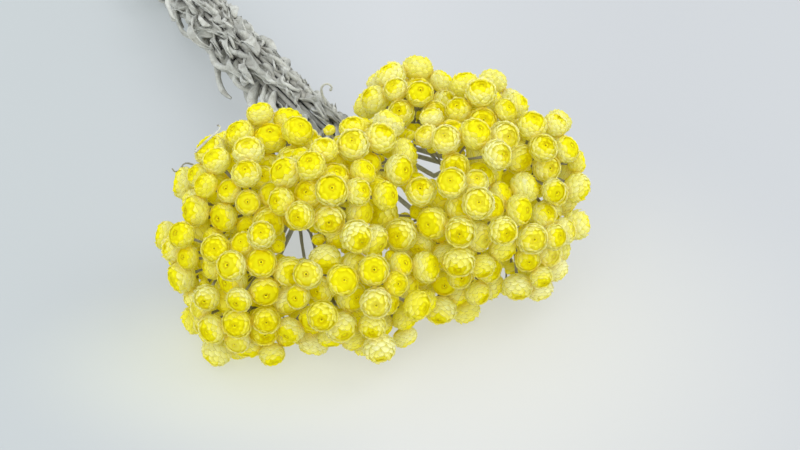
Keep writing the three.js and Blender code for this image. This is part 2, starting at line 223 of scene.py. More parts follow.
# The openings between the heads, where the table shows: a line of sight through each, and its radius.
OPENINGS = (
    ((59.6, -43.8, 48), (10.9, -17.7, 4), 3.0),
    ((50.8, -3.2, 48), (0.6, 29.5, 4), 2.2),
    ((60.1, -16.3, 48), (11.4, 14.2, 4), 1.3),
)
NUDGES = 260
HOMEWARD_NUDGES = 200
CLUSTER_GAP = 0.45
WITHIN_CLUSTER_GAP = 0.05
STEM_CLEARANCE = 0.9
PUSH_SHARE = 0.5
STRAIGHTENING = 0.2
HOMEWARD = 0.03
LOWEST = 0.8
HEAD, STALK, STEM, OPENING = range(4)


def nudge_apart(at, fans):
    """Moves the heads and the stems until none touches another, and the heads clear of the openings"""
    heads, stems = len(at), len(fans)
    crowns = np.array([fork + axis * UPRIGHT_LENGTH for fork, axis in zip(forks, axes)])
    lines = np.concatenate([fans, crowns[:, None]], 1)
    moving = np.arange(1, FAN_POINTS - 2)
    of_line = np.repeat(np.arange(stems), FAN_POINTS)
    of_mover = np.repeat(np.arange(stems), len(moving))
    cluster = np.concatenate([of_cluster, of_cluster, of_line, np.full(len(OPENINGS), -1)])
    mover_cluster = np.concatenate([of_cluster, of_mover])
    stalk_radius, stem_radius = np.full(heads, STALK_RADIUS), np.full(len(of_line), STEM_RADIUS)
    radius = np.concatenate([globe_radius, stalk_radius, stem_radius, [o[2] for o in OPENINGS]])
    mover_radius = np.concatenate([globe_radius, np.full(len(of_mover), STEM_RADIUS)])
    kind = np.repeat([HEAD, STALK, STEM, OPENING], [heads, heads, len(of_line), len(OPENINGS)])
    is_stem = np.repeat([False, True], [heads, len(of_mover)])
    same = mover_cluster[:, None] == cluster[None]
    gap = np.where(same, WITHIN_CLUSTER_GAP, CLUSTER_GAP)
    gap[is_stem] = STEM_CLEARANCE
    apart = mover_radius[:, None] + radius[None] + gap
    own = np.zeros_like(same)
    own[np.arange(heads), np.arange(heads)] = True
    own[np.arange(heads), heads + np.arange(heads)] = True
    own[heads:] = (same[heads:] & (kind != HEAD)) | (kind == OPENING)
    open_from, open_to = [np.array([o[end] for o in OPENINGS], float) for end in (0, 1)]
    reached = np.where(own, 0, apart**2) - TINY
    for nudge in range(NUDGES):
        way = at - roots
        length = np.linalg.norm(way, axis=1)
        feet = roots + way * ((length - globe_radius) / length)[:, None]
        starts = np.concatenate([at, roots, lines[:, :-1].reshape(-1, 3), open_from])
        ends = np.concatenate([at, feet, lines[:, 1:].reshape(-1, 3), open_to])
        movers = np.concatenate([at, lines[:, moving].reshape(-1, 3)])
        along = ends - starts
        reach = (along**2).sum(1)
        run = movers @ along.T - (starts * along).sum(1)
        share = np.clip(run / np.where(reach > 0, reach, 1), 0, 1)
        square = (movers**2).sum(1)[:, None] - 2 * movers @ starts.T + (starts**2).sum(1)
        square += share * (share * reach - 2 * run)
        near, thing = np.nonzero(square < reached)
        away = movers[near] - starts[thing] - share[near, thing][:, None] * along[thing]
        distance = np.linalg.norm(away, axis=1)
        away *= ((apart[near, thing] - distance) * PUSH_SHARE / distance)[:, None]
        pushes = np.zeros_like(movers)
        np.add.at(pushes, near, away)
        level = (lines[:, moving - 1] + lines[:, moving + 1]) / 2 - lines[:, moving]
        pushes[heads:] += level.reshape(-1, 3) * STRAIGHTENING
        if nudge < HOMEWARD_NUDGES:
            pushes[:heads] += (homes - at) * HOMEWARD
        movers = movers + pushes
        movers[:, 2] = np.maximum(movers[:, 2], mover_radius * LOWEST)
        at = movers[:heads]
        lines[:, moving] = movers[heads:].reshape(stems, -1, 3)
    return at, lines[:, :-1]


globes, fans = nudge_apart(homes.copy(), np.array([fan(k) for k in range(len(CLUSTERS))]))


def placed(points):
    """Points of the plan, as vectors of the finished bunch, in metres"""
    return [Vector((np.array(p) + BOX_SHIFT) * MM) for p in points]


def smooth_line(points, steps):
    """A smooth line through points, with more of them"""
    line = []
    for i in range(len(points) - 1):
        p0, p1, p2 = points[max(i - 1, 0)], points[i], points[i + 1]
        p3 = points[min(i + 2, len(points) - 1)]
        for j in range(steps):
            t = j / steps
            curve = 2 * p0 - 5 * p1 + 4 * p2 - p3
            bend = 3 * p1 - p0 - 3 * p2 + p3
            line.append((2 * p1 + (p2 - p0) * t + curve * t * t + bend * t**3) / 2)
    return line + [points[-1]]


def frames_along(points):
    """A matrix at each point of a line, with Z along it, that turns no more than it must"""
    frames, normal = [], None
    for i, point in enumerate(points):
        tangent = (points[min(i + 1, len(points) - 1)] - points[max(i - 1, 0)]).normalized()
        if normal is None:
            normal = tangent.orthogonal()
        normal = (normal - tangent * normal.dot(tangent)).normalized()
        turn = Matrix((normal, tangent.cross(normal), tangent)).transposed()
        frames.append(Matrix.Translation(point) @ turn.to_4x4())
    return frames


def sweep(bm, points, radii, sides):
    """A closed rod: a ring that is drawn out from one point of a line to the next"""
    frames = frames_along(points)
    sized = [f @ Matrix.Diagonal((r, r, r, 1)) for f, r in zip(frames, radii)]
    ring = bmesh.ops.create_circle(bm, cap_ends=True, radius=1, segments=sides)["verts"]
    bmesh.ops.transform(bm, matrix=sized[0], verts=ring)
    bottom = ring[0].link_faces[0]
    edges = list(bottom.edges)
    for before, after in zip(sized, sized[1:]):
        made = bmesh.ops.extrude_edge_only(bm, edges=edges)["geom"]
        edges = [g for g in made if isinstance(g, bmesh.types.BMEdge) and g.is_boundary]
        ends = [g for g in made if isinstance(g, bmesh.types.BMVert)]
        bmesh.ops.transform(bm, matrix=after @ before.inverted(), verts=ends)
    bmesh.ops.contextual_create(bm, geom=edges)
    bmesh.ops.recalc_face_normals(bm, faces=bm.faces[:])


def gather(bm, shape, matrix):
    """Adds a copy of a small bmesh or mesh to a larger one, and returns its vertices"""
    before = len(bm.verts)
    if isinstance(shape, bmesh.types.BMesh):
        mesh = bpy.data.meshes.new("part")
        shape.to_mesh(mesh)
        shape.free()
        bm.from_mesh(mesh)
        bpy.data.meshes.remove(mesh)
    else:
        bm.from_mesh(shape)
    fresh = bm.verts[before:]
    bmesh.ops.transform(bm, matrix=matrix, verts=fresh)
    return fresh


def roughen(bm, fineness, depth):
    """Moves each point of a piece a little, as wool and shrinking leave it"""
    for v in bm.verts:
        v.co += noise.noise_vector(v.co * fineness) * depth * MM


def finished(name, bm, finish, nodes):
    """The object of a finished mesh, riding on the bunch and standing for CAD nodes"""
    for vertex in bm.verts:
        vertex.co.z = max(vertex.co.z, 0.0)
    mesh = bpy.data.meshes.new(name)
    bm.to_mesh(mesh)
    bm.free()
    mesh.polygons.foreach_set("use_smooth", [True] * len(mesh.polygons))
    mesh.materials.append(finish.material)
    piece = bpy.data.objects.new(name, mesh)
    bpy.context.scene.collection.objects.link(piece)
    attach(piece, "root")
    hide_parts(*nodes)


COLOUR_MIX_INPUTS, COLOUR_MIX_OUTPUT = (0, 6, 7), 2


class Finish:
    """A material, and what its colour, grain and sheen are worked out from"""

    def __init__(self, name):
        self.material = bpy.data.materials.new(name)
        self.material.use_nodes = True
        self.nodes, self.links = self.material.node_tree.nodes, self.material.node_tree.links

    def feed(self, socket, given):
        """Gives an input a number, a colour, a point, or what another node puts out"""
        if isinstance(given, bpy.types.NodeSocket):
            self.links.new(given, socket)
        elif socket.type == "RGBA":
            socket.default_value = (*given, 1)
        else:
            socket.default_value = given

    def surface(self, inputs):
        """Feeds the inputs of the surface, by name"""
        for name, given in inputs.items():
            self.feed(self.nodes["Principled BSDF"].inputs[name], given)

    def place(self, coordinates="Object", kind="POINT", **moves):
        """Where a point lies on the piece, moved, turned or stretched if asked"""
        where = self.nodes.new("ShaderNodeTexCoord").outputs[coordinates]
        if not moves:
            return where
        mapping = self.nodes.new("ShaderNodeMapping")
        mapping.vector_type = kind
        self.links.new(where, mapping.inputs["Vector"])
        for name, move in moves.items():
            mapping.inputs[name].default_value = move
        return mapping.outputs["Vector"]

    def grain(self, where, fineness, detail):
        """Soft random patches over places on the piece"""
        texture = self.nodes.new("ShaderNodeTexNoise")
        texture.inputs["Scale"].default_value = fineness
        texture.inputs["Detail"].default_value = detail
        self.links.new(where, texture.inputs["Vector"])
        return texture.outputs["Fac"]

    def attribute(self, name):
        """A number that the vertices carry"""
        attribute = self.nodes.new("ShaderNodeAttribute")
        attribute.attribute_name = name
        return attribute.outputs["Fac"]

    def value(self, operation, *inputs, kind="ShaderNodeMath"):
        """A number worked out from other numbers, or from points"""
        node = self.nodes.new(kind)
        node.operation = operation
        for socket, given in zip(node.inputs, inputs):
            self.feed(socket, given)
        return node.outputs["Value"]

    def step(self, number, low, high):
        """Rises from 0 to 1 while a number goes from low to high"""
        node = self.nodes.new("ShaderNodeMapRange")
        node.interpolation_type = "SMOOTHSTEP"
        self.links.new(number, node.inputs["Value"])
        node.inputs["From Min"].default_value = low
        node.inputs["From Max"].default_value = high
        return node.outputs["Result"]

    def ramp(self, number, stops):
        """A colour that runs through (place, colour) stops as a number goes from 0 to 1"""
        ramp = self.nodes.new("ShaderNodeValToRGB")
        elements = ramp.color_ramp.elements
        while len(elements) < len(stops):
            elements.new(0.5)
        for element, (place, colour) in zip(elements, stops):
            element.position = place
            element.color = (*colour, 1)
        self.links.new(number, ramp.inputs["Fac"])
        return ramp.outputs["Color"]

    def mix(self, kind, share, first, second):
        """Two colours mixed"""
        node = self.nodes.new("ShaderNodeMix")
        node.data_type = "RGBA"
        node.blend_type = kind
        for i, given in zip(COLOUR_MIX_INPUTS, (share, first, second)):
            self.feed(node.inputs[i], given)
        return node.outputs[COLOUR_MIX_OUTPUT]

    def bump(self, height, distance, strength, below=None):
        """Fine relief, laid over coarser relief if that is given"""
        node = self.nodes.new("ShaderNodeBump")
        node.inputs["Strength"].default_value = strength
        node.inputs["Distance"].default_value = distance
        self.links.new(height, node.inputs["Height"])
        if below:
            self.links.new(below, node.inputs["Normal"])
        return node.outputs["Normal"]


WOOL_FINENESS, FIBRE_FINENESS = 420, 2600
WOOL_RELIEF, FIBRE_RELIEF = 0.0005, 0.00025
FELT_TONES = ((0.3, (0.34, 0.332, 0.28)), (0.5, (0.475, 0.475, 0.415)), (0.7, (0.54, 0.545, 0.49)))
FELT_SHADE_AND_BROWN = (0.24, 0.23, 0.19)

felt = Finish("grey_felt")
wool = felt.grain(felt.place(), WOOL_FINENESS, 5)
fibres = felt.grain(felt.place(), FIBRE_FINENESS, 3)
# The attribute shade mixes the felt towards a dark brown-grey: as painted shade deep in the bundle, and as
# the own darker colour of the stems past the neck and of the stalks.
colour = felt.mix("MIX", felt.attribute("shade"), felt.ramp(wool, FELT_TONES), FELT_SHADE_AND_BROWN)
felt.surface({
    "Base Color": felt.mix("SOFT_LIGHT", 0.6, colour, fibres),
    "Normal": felt.bump(fibres, FIBRE_RELIEF, 0.7, felt.bump(wool, WOOL_RELIEF, 0.5)),
    "Roughness": 0.95,
    "Sheen Weight": 0.25,
    "Sheen Roughness": 0.5,
})

END_STEP = 7.0
BUNDLE_POINTS = 26
JOINT_GAP = 0.3
STEM_SIDES = 10
STEM_FOOT, STEM_TAPER = 0.98, 0.1
STEM_FINENESS, STEM_DEPTH = 700, 0.07

draw = seeded(SEED + 1)
cut_ends = [draw() * END_STEP / BUNDLE_LENGTH for k in range(len(CLUSTERS))]


def stem_tube(k):
    """A stem from its cut end to its fork, a little thinner on the way"""
    cut = cut_ends[k]
    line = [in_bundle(k, cut + (1 - cut) * i / BUNDLE_POINTS) for i in range(BUNDLE_POINTS)]
    line += smooth_line(list(fans[k][:-1]), FAN_STEPS)
    line = placed(line + [forks[k] - axes[k] * JOINT_GAP])
    radii = [STEM_RADIUS * MM * (STEM_FOOT - STEM_TAPER * i / len(line)) for i in range(len(line))]
    bm = bmesh.new()
    sweep(bm, line, radii, STEM_SIDES)
    roughen(bm, STEM_FINENESS, STEM_DEPTH)
    return bm


# The leaves. Narrow dry leaves clothe each stem that lies outside, from above its stripped foot to the
# neck. They are as woolly as the stems; most have shrivelled, rolled in at the edges and twisted, and
# lie in a tangle along the stems, pale on the outside, with shade painted into the hollows of the tangle.
LEAF_START = 44.0
LEAF_END = 4.0
LEAF_TOP = 0.98
LEAF_PITCH = 7.0
LEAF_SHIFT = 3.0
LEAF_STAGGER = 0.618
LEAF_TURN = 2.0
LEAF_LENGTH = (8.0, 19.0)
LEAF_LENGTH_POWER = 1.5
LEAF_WIDTH = (2.8, 4.6)
LEAF_THICKNESS = 0.4
LEAF_LIFT = (0.08, 0.5)
LEAF_CURL = (0.8, 3.0)
LEAF_CURL_POWER = 1.5
LEAF_TWIST = 4.4
LEAF_ROLL = (1.0, 2.4)
LEAF_SWAY = 2.4
LEAF_SUNK = 0.5
LEAF_WRINKLE, LEAF_CRUMPLE = 0.3, 0.7
LEAF_STRIPS, LEAF_ROWS, LEAF_STEPS = 4, 12, 48

# Leaves on the side that hangs are longer and stand off more, and the others press close by the neck.
HANGING_SIDE = unit(np.array([-0.45, -0.72, -0.53]))
HANGING_LIFT, HANGING_LENGTH = 0.75, 0.5
PRESSED = (0.3, 0.8)
NECK_START, NECK_RUN = 0.66, 0.12


def clamped(number):
    """A number, kept from 0 to 1"""
    return max(0, min(1, number))


def leaf(root, along, out, length, width, lift, curl, twist, roll, sway, seed):
    """A blade cut from a grid, whose edges roll in, and which twists and curls along its midrib"""
    bm = bmesh.new()
    bmesh.ops.create_grid(bm, x_segments=LEAF_STRIPS, y_segments=LEAF_ROWS, size=0.5)
    side = unit(np.cross(along, out))
    place, midrib = np.zeros(3), []
    for i in range(LEAF_STEPS + 1):
        angle = lift + curl * (i / LEAF_STEPS) ** LEAF_CURL_POWER
        midrib.append(place.copy())
        place = place + (along * math.cos(angle) + out * math.sin(angle)) * length / LEAF_STEPS
    for v in bm.verts:
        u, t = v.co.x * 2, v.co.y + 0.5
        angle = lift + curl * t**LEAF_CURL_POWER
        up = out * math.cos(angle) - along * math.sin(angle)
        turn = twist * t
        flat = side * math.cos(turn) + up * math.sin(turn)
        face = up * math.cos(turn) - side * math.sin(turn)
        half = width / 2 * (0.8 + t * (1 - t)) * min(1, 0.5 + 3 * t, (1 - t) * 5 + 0.45)
        rolled = roll * (0.5 + t)
        bend = rolled * u
        point = midrib[round(t * LEAF_STEPS)] + side * sway * math.sin(t * math.pi * 1.5)
        point = point + flat * half * math.sin(bend) / rolled
        point = point + face * half * (1 - math.cos(bend)) / rolled
        wrinkle = noise.noise(Vector((u * 1.1, t * 7, seed)))
        crumple = np.array(noise.noise_vector(Vector((u * 0.5, t * 3.2, seed * 1.7)))) * min(1, t * 4)
        v.co = placed([root + point + face * wrinkle * LEAF_WRINKLE + crumple * LEAF_CRUMPLE])[0]
    bmesh.ops.solidify(bm, geom=bm.faces[:], thickness=LEAF_THICKNESS * MM)
    bmesh.ops.recalc_face_normals(bm, faces=bm.faces[:])
    return bm


def leaves_of(k):
    """The leaves of a stem, from its foot to the neck"""
    draw = seeded(SEED * 100 + k)
    made = []
    s = LEAF_START + LEAF_PITCH * ((k * LEAF_STAGGER) % 1)
    while s < BUNDLE_LENGTH - LEAF_END:
        t = (s + (draw() - 0.5) * LEAF_SHIFT) / BUNDLE_LENGTH
        near_neck = clamped((t - NECK_START) / NECK_RUN)
        along = unit(in_bundle(k, t + NEARBY) - in_bundle(k, t - NEARBY))
        out = out_from_middle(k, t)
        turn = (draw() - 0.5) * LEAF_TURN
        out = unit(out - along * out.dot(along))
        out = unit(out * math.cos(turn) + np.cross(along, out) * math.sin(turn))
        hanging = float(out @ HANGING_SIDE)
        room = 1 + HANGING_LIFT * max(0, hanging) - between(PRESSED, near_neck) * max(0, -hanging)
        lift = between(LEAF_LIFT, draw()) * room
        length = between(LEAF_LENGTH, draw() ** LEAF_LENGTH_POWER) * (1 + HANGING_LENGTH * max(0, hanging))
        width, roll = between(LEAF_WIDTH, draw()), between(LEAF_ROLL, draw())
        curl, twist = -lift * between(LEAF_CURL, draw()), (draw() - 0.5) * LEAF_TWIST
        sway = (draw() - 0.5) * LEAF_SWAY
        root = in_bundle(k, t) + out * STEM_RADIUS * LEAF_SUNK
        if t < LEAF_TOP:
            seed = len(made) + 40 * k
            made.append(leaf(root, along, out, length, width, lift, curl, twist, roll, sway, seed))
        s += LEAF_PITCH
    return made


# The dry shoot. A thin side shoot stands up from the topmost stem just before the neck, and its bare,
# slightly swollen end curls over. It is of one piece with its stem.
SHOOT_AT = 0.965
SHOOT_RADIUS = 0.36
SHOOT_FOOT, SHOOT_TAPER = 1.1, 0.45
SHOOT_END = (0.75, 1.15, 1.2, 0.7)
SHOOT_SIDES, SHOOT_STEPS = 7, 4
SHOOT = ((0, 0), (0.2, 3.0), (-0.5, 5.6), (-0.7, 7.6), (0.1, 8.9), (1.3, 8.9), (2.0, 7.9), (1.5, 6.9))
SHOOT_SIDEWAYS = np.array([0.53, 0.85, 0])
topmost = max(range(len(CLUSTERS)), key=lambda k: in_bundle(k, SHOOT_AT)[2])


def shoot():
    """The shoot, along its S-shaped line"""
    foot = in_bundle(topmost, SHOOT_AT)
    points = [foot + SHOOT_SIDEWAYS * aside + np.array([0, 0, up]) for aside, up in SHOOT]
    line = placed(smooth_line(points, SHOOT_STEPS))
    radii = [SHOOT_RADIUS * MM * (SHOOT_FOOT - SHOOT_TAPER * i / len(line)) for i in range(len(line))]
    radii[-len(SHOOT_END):] = [SHOOT_RADIUS * MM * swell for swell in SHOOT_END]
    bm = bmesh.new()
    sweep(bm, line, radii, SHOOT_SIDES)
    return bm


# Painted shade: the felt of stems and leaves is darker the deeper it lies in the bundle. Past the neck the
# stems are evenly browner, which is their own colour.
SHADE_ABOVE_STEMS = 1.3
SHADE_DEPTH = 1.8
SHADE_RUN = 10
DEEPEST_SHADE, BROWN_PAST_NECK = 0.85, 0.5


def darken(bm):
    """Paints shade on each point of a stem or leaf by how far in among the others it lies, and gives the
    stems past the neck their own browner colour
    """
    shade = bm.verts.layers.float.new("shade")
    for v in bm.verts:
        x, y, z = np.array(v.co) / MM - BOX_SHIFT
        t = 1 + x / BUNDLE_LENGTH
        middle = bundle_middle(min(t, 1))
        depth = bundle_radius + SHADE_ABOVE_STEMS - math.hypot(y - middle[1], z - middle[2])
        depth = clamped(depth / SHADE_DEPTH) * clamped((t * BUNDLE_LENGTH - LEAF_START) / SHADE_RUN)
        v[shade] = DEEPEST_SHADE * depth if t < 1 else BROWN_PAST_NECK


for k in range(len(CLUSTERS)):
    bm = stem_tube(k)
    if is_outer[k]:
        for blade in leaves_of(k):
            gather(bm, blade, Matrix())
    if k == topmost:
        gather(bm, shoot(), Matrix())
    darken(bm)
    finished(f"leafy_stem_{k + 1:02d}", bm, felt, [f"stem_{k + 1:02d}"])

# The stalks. An upright over each stem carries a thin, woolly stalk to every flower head of its
# cluster. Between them a few shorter stalks carry young heads, half hidden under the others.
UPRIGHT_FOOT_RADIUS, UPRIGHT_TOP_RADIUS = STEM_RADIUS * 0.9, 0.6
UPRIGHT_SIDES, STALK_SIDES = 9, 7
STALK_STEPS = 5
STALK_SWELLS = (1.1, 0.95, 0.85, 0.85, 0.95, 1.35)
STALK_END = 0.8
STALK_BROWN = 0.75
STALK_FINENESS, STALK_DEPTH = 900, 0.08

# Young heads grow where there is room, and most of them where a gap shows from the front.
YOUNG_MOST = 14
YOUNG_ANYWHERE = 2
YOUNG_TRIED = 1200
YOUNG_RADIUS = (1.35, 2.4)
YOUNG_REACH = (0.4, 1.0)
YOUNG_SPREAD = SPREAD * 1.35
YOUNG_TURN = 1.5
YOUNG_OUTWARD = 0.7549
YOUNG_ROOT = 0.15
YOUNG_STALK_RADIUS = STALK_RADIUS * 0.7
YOUNG_GAP = 0.3
OTHERS_GAP, OTHERS_STEM_GAP = 0.15, 0.1
OWN_OVERLAP, OWN_STALK_OVERLAP = 0.25, 0.5
DRESSED = 1.06
GAP_SHARE = 0.8
FRONT_POINT = np.array([359.2, -204.4, 318.5])

# Some young heads are listed one by one: the cluster, the place and the radius of each.
YOUNG_FIRST = (
    (12, (48.2, 22.2, 32.8), 2.6),
    (15, (58.4, 16.4, 13.9), 2.1),
    (10, (29.3, 3.5, 41.6), 2.0),
    (3, (13.0, -38.8, 16.4), 2.0),
    (3, (21.2, -47.8, 12.4), 2.4),
    (5, (41.8, -35.5, 11.1), 2.4),
)

stem_starts, stem_ends = fans[:, :-1].reshape(-1, 3), fans[:, 1:].reshape(-1, 3)
open_starts, open_ends = [np.array([o[end] for o in OPENINGS], float) for end in (0, 1)]
open_radius = np.array([o[2] for o in OPENINGS])
young_at, young_radius = [np.array([first[i] for first in YOUNG_FIRST]) for i in (1, 2)]


def clear_of(at, starts, ends):
    """How far a point is from each of many straight stretches"""
    along = ends - starts
    share = ((at - starts) * along).sum(1) / (along**2).sum(1)
    return np.linalg.norm(at - starts - along * np.clip(share, 0, 1)[:, None], axis=1)


def room_for(at, radius, own):
    """The room that a young head has there, less than 0 where it would meet something"""
    heads = np.linalg.norm(globes - at, axis=1) - globe_radius * DRESSED - radius
    stalks = clear_of(at, roots, globes) - STALK_RADIUS - radius
    return min(
        (heads + np.where(own, OWN_OVERLAP, -OTHERS_GAP)).min(),
        (stalks + np.where(own, radius * OWN_STALK_OVERLAP, -OTHERS_STEM_GAP)).min(),
        (clear_of(at, stem_starts, stem_ends) - STEM_RADIUS - radius - OTHERS_STEM_GAP).min(),
        (clear_of(at, open_starts, open_ends) - open_radius - radius).min(),
        (np.linalg.norm(young_at - at, axis=1) - young_radius - radius - YOUNG_GAP).min(),
        at[2] - radius,
    )


def in_a_gap(at):
    """Whether a head there stands in a gap between the others, seen from the front"""
    sight = unit(FRONT_POINT - at)
    aside = globes - at - np.outer((globes - at) @ sight, sight)
    return (np.linalg.norm(aside, axis=1) > globe_radius * GAP_SHARE).all()


draw = seeded(SEED + 90)
young = []
for k, (_, _, reach, _) in enumerate(CLUSTERS):
    u, v = across(axes[k])
    low = forks[k] + axes[k] * UPRIGHT_LENGTH * YOUNG_ROOT
    found = [(np.array(at), low, radius) for owner, at, radius in YOUNG_FIRST if owner == k]
    for i in range(YOUNG_TRIED):
        outward = math.sqrt(i * YOUNG_OUTWARD % 1)
        turn = i * GOLDEN_ANGLE + k + YOUNG_TURN
        aside = u * math.cos(turn) + v * math.sin(turn)
        way = axes[k] * math.cos(YOUNG_SPREAD * outward) + aside * math.sin(YOUNG_SPREAD * outward)
        at = forks[k] + way * reach * between(YOUNG_REACH, draw())
        radius = between(YOUNG_RADIUS, draw())
        wanted = len(found) < YOUNG_ANYWHERE or len(found) < YOUNG_MOST and in_a_gap(at)
        if wanted and room_for(at, radius, of_cluster == k) > 0:
            found.append((at, low, radius))
            young_at, young_radius = np.vstack([young_at, at]), np.append(young_radius, radius)
    young.append(found)

# The dead stalks. A few stalks lost their heads and dried bare: one lies over the outer heads, one
# hooks out from under them, and two cross the left opening.
DEAD_FOOT, DEAD_TAPER = 1.15, 0.4
DEAD_BROWN = 0.9
DEAD_STEPS = 5

# Each has its cluster, its radius, the height up to which it is still pale, and its line.
DEAD_STALKS = (
    (1, 0.3, 49.6, (
        (11.6, -45.3, 44.5), (12.4, -41.9, 47.5), (11.9, -38.9, 48.6), (11.2, -38.1, 49.2),
        (11.3, -38.7, 49.8),
    )),
    (1, 0.22, 0, (
        (8.2, -42.6, 36.6), (6.1, -45.4, 37.9), (6.2, -47.4, 36.6), (6.6, -48.8, 36.9), (6.2, -49.3, 37.9),
    )),
    (8, 0.45, 0, ((21.7, -22.9, 20), (25.5, -24.9, 21.6), (33, -28.6, 23.4), (42, -32.8, 26))),
    (8, 0.4, 0, ((24.6, -22.6, 20.5), (31.0, -25.0, 24), (39.9, -28.6, 25.5), (44, -31.2, 27.5))),
)

for k in range(len(CLUSTERS)):
    bm = bmesh.new()
    shares = [i / STALK_STEPS for i in range(STALK_STEPS + 1)]
    line = [forks[k] + axes[k] * UPRIGHT_LENGTH * i / STALK_STEPS for i in range(STALK_STEPS + 1)]
    radii = [between((UPRIGHT_FOOT_RADIUS, UPRIGHT_TOP_RADIUS), share) * MM for share in shares]
    sweep(bm, placed(line), radii, UPRIGHT_SIDES)
    stalks = [(globes[i], roots[i], globe_radius[i], STALK_RADIUS) for i in np.flatnonzero(of_cluster == k)]
    stalks += [(at, root, radius, YOUNG_STALK_RADIUS) for at, root, radius in young[k]]
    for at, root, radius, thick in stalks:
        end = at - unit(at - root) * radius * STALK_END
        line = placed([root + (end - root) * j / STALK_STEPS for j in range(STALK_STEPS + 1)])
        stalk = bmesh.new()
        sweep(stalk, line, [thick * MM * swell for swell in STALK_SWELLS], STALK_SIDES)
        gather(bm, stalk, Matrix())
    # The stalks take the felt's darker brown, which is their own colour, through the attribute that paints
    # shade in the bundle.
    shade = bm.verts.layers.float.new("shade")
    for v in bm.verts:
        v[shade] = STALK_BROWN
    for _, thick, pale_height, points in [dead for dead in DEAD_STALKS if dead[0] == k]:
        line = placed(smooth_line(np.array(points), DEAD_STEPS))
        radii = [thick * MM * (DEAD_FOOT - DEAD_TAPER * j / len(line)) for j in range(len(line))]
        stalk = bmesh.new()
        sweep(stalk, line, radii, STALK_SIDES)
        for v in gather(bm, stalk, Matrix()):
            v[shade] = 0.0 if v.co.z < pale_height * MM else DEAD_BROWN
    roughen(bm, STALK_FINENESS, STALK_DEPTH)
    finished(f"stalks_{k + 1:02d}", bm, felt, [f"flowers_{k + 1:02d}"])

# The flower heads. Each is a small globe of dry papery scales that overlap like tiles. Short pale ones
# stand in rings from its foot up its sides; long yellow ones close over its top in a smooth, shallow
# dish, and leave a tiny eye. A head's form has a radius of 1 and faces up.
BODY_WIDE, BODY_TOP, BODY_FOOT = 0.85, 0.66, 0.82
BODY_SIDES, BODY_RINGS = 12, 9
EYE_WIDE, EYE_RIM, EYE_FLOOR = 0.125, 0.96, 0.66
SCALES = (64, 7, 9)
YOUNG_SCALES = (18, 0, 6)
FINE_GRID, COARSE_GRID = (4, 3), (3, 2)
FINE_UP_TO = 1.5
SCALE_THICKNESS = 0.018
OUTER_TIPS = 117
OUTER_FLARES, TOP_FLARE = (0.25, 0.95), 0.5
SHARP_EDGE = 1.2

# Ages tell the paper where a scale stands: up to OUTER_AGE on the sides, more on top, most in the eye.
OUTER_AGE, MIDDLE_AGE, INNER_AGE, EYE_AGE = 0.8, 0.9, 1.0, 2.0


def paper_scale(draw, row, share, flare, turn, top_tip, spread):
    """One papery scale: a grid bent over the head's body, and its underside, joined at the edge"""
    bm = bmesh.new()
    uv = bm.loops.layers.uv.new("paper")
    x_cells, y_cells = FINE_GRID if row != "outer" and spread < FINE_UP_TO else COARSE_GRID
    bmesh.ops.create_grid(bm, x_segments=x_cells, y_segments=y_cells, size=0.5)
    for face in bm.faces:
        for corner in face.loops:
            corner[uv].uv = (corner.vert.co.x + 0.5, corner.vert.co.y + 0.5)
    under = bmesh.ops.duplicate(bm, geom=bm.verts[:] + bm.edges[:] + bm.faces[:])["geom"]
    below = {g for g in under if isinstance(g, bmesh.types.BMVert) and not g.is_boundary}
    bmesh.ops.reverse_faces(bm, faces=[g for g in under if isinstance(g, bmesh.types.BMFace)])
    # tips and spans are degrees from the head's top, and the other sizes are shares of its radius
    if row == "inner":
        tip, span, width, lift = 5.5 + 2.5 * draw(), 40, 0.30, 0.0
        rise, ruffled, rounded = (0.04, 0.085 + 0.015 * draw()), 0.0, 0.15
    elif row == "middle":
        tip, span, width, lift = top_tip - between((4, 10), draw()), 44, 0.36, 0.02
        rise, ruffled, rounded = (0.02, 0.13), 0.06, 0.15
    else:
        tip, span = between((OUTER_TIPS, top_tip), share) + (draw() - 0.5) * 7, 42
        width, lift = between((0.36, 0.42), share) * spread, between((0.02, 0.05), share)
        rise, ruffled, rounded = (0.0, between((0.1, 0.13), share)), 0.15, 0.27
    width *= between((0.9, 1.1), draw())
    lift = lift * between((0.5, 1.7), draw()) + flare * between((0.3, 1.0), draw())
    skew, phase = (draw() - 0.5) * 0.16, draw() * 99
    azimuth = np.array([math.cos(turn), math.sin(turn), 0])
    sideways = np.array([-math.sin(turn), math.cos(turn), 0])
    top = np.array([0, 0, 1])
    for v in bm.verts:
        a, s = v.co.x * 2, v.co.y + 0.5
        ruffle = noise.noise(Vector((a * 1.5, s * 1.2, phase))) * ruffled * s
        s_round = s - (rounded * a * a + ruffle * 1.6) * s * s
        half = width * (0.6 + 1.3 * s - 1.18 * s * s)
        polar = math.radians(tip + span * (1 - s_round))
        body = BODY_TOP if polar < math.pi / 2 else BODY_FOOT
        out = azimuth * math.sin(polar) + top * math.cos(polar)
        risen = s_round * (2 - s_round) if row == "outer" else s_round
        height = between(rise, risen) + ruffle * 0.7 + lift * max(0, (s_round - 0.55) / 0.45) ** 2
        x = a * half + skew * (1 - s) * 0.3
        point = azimuth * math.sin(polar) * BODY_WIDE + top * math.cos(polar) * body
        from_axis = math.hypot(point[0], point[1])
        dip = 0.1 * max(0, 1 - from_axis / 0.5) ** 2 + 0.14 * max(0, 1 - from_axis / 0.25) ** 2
        thickness = SCALE_THICKNESS if v in below else 0
        point = point + out * (height - x * x * 0.66 - thickness) - top * dip
        v.co = Vector(point + sideways * x)
    bmesh.ops.remove_doubles(bm, verts=bm.verts[:], dist=1e-5)
    for edge in bm.edges:
        edge.smooth = edge.calc_face_angle(0.0) < SHARP_EDGE
    return bm


